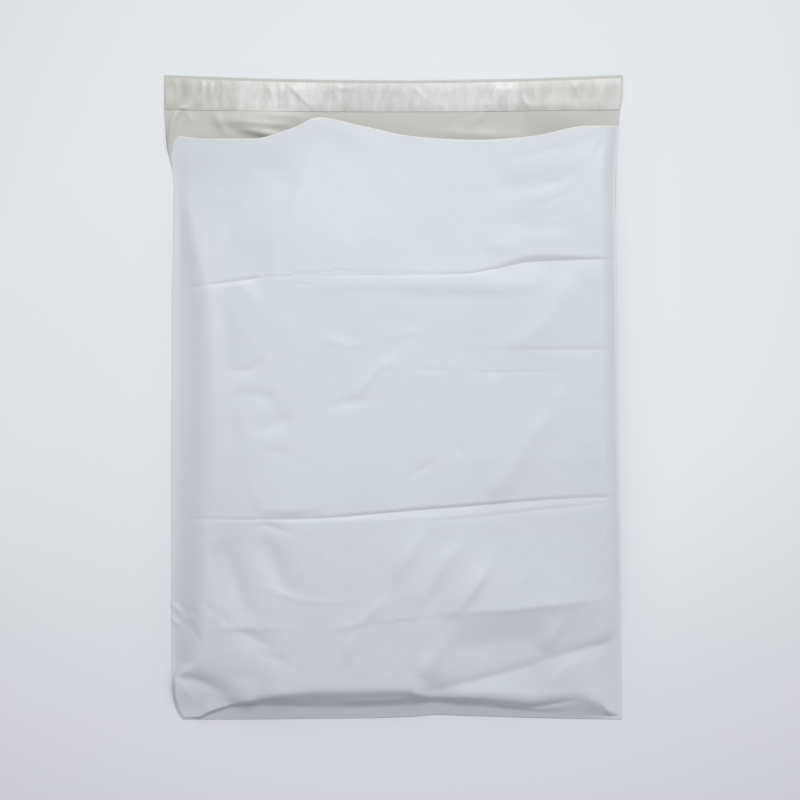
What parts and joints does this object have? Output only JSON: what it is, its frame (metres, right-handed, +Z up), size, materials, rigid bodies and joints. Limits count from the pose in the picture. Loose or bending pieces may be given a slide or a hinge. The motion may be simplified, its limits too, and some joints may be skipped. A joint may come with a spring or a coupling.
{
  "type": "poly mailer bag",
  "caption": "Empty plastic mailing bag lying on its back, mouth open, front panel puffed and creased, flap out flat with its release liner still on.",
  "frame": {"origin": "on the surface that the bag lies on, under the middle of its outline", "axes": "+Z up out of the front panel, +Y from the bottom fold towards the flap, +X across to the right as seen from above with the flap at the top"},
  "size_m": [0.3682, 0.518, 0.0166],
  "materials": {
    "film": "satin white polyethylene film outside, grey inside, soft wrinkles and storage creases",
    "adhesive": "clear hot-melt band, glossy",
    "liner": "crinkled translucent film, glossy"
  },
  "bodies": {
    "root": {"bag": "film", "adhesive_strip": "adhesive", "release_liner": "liner"}
  },
  "joints": []
}
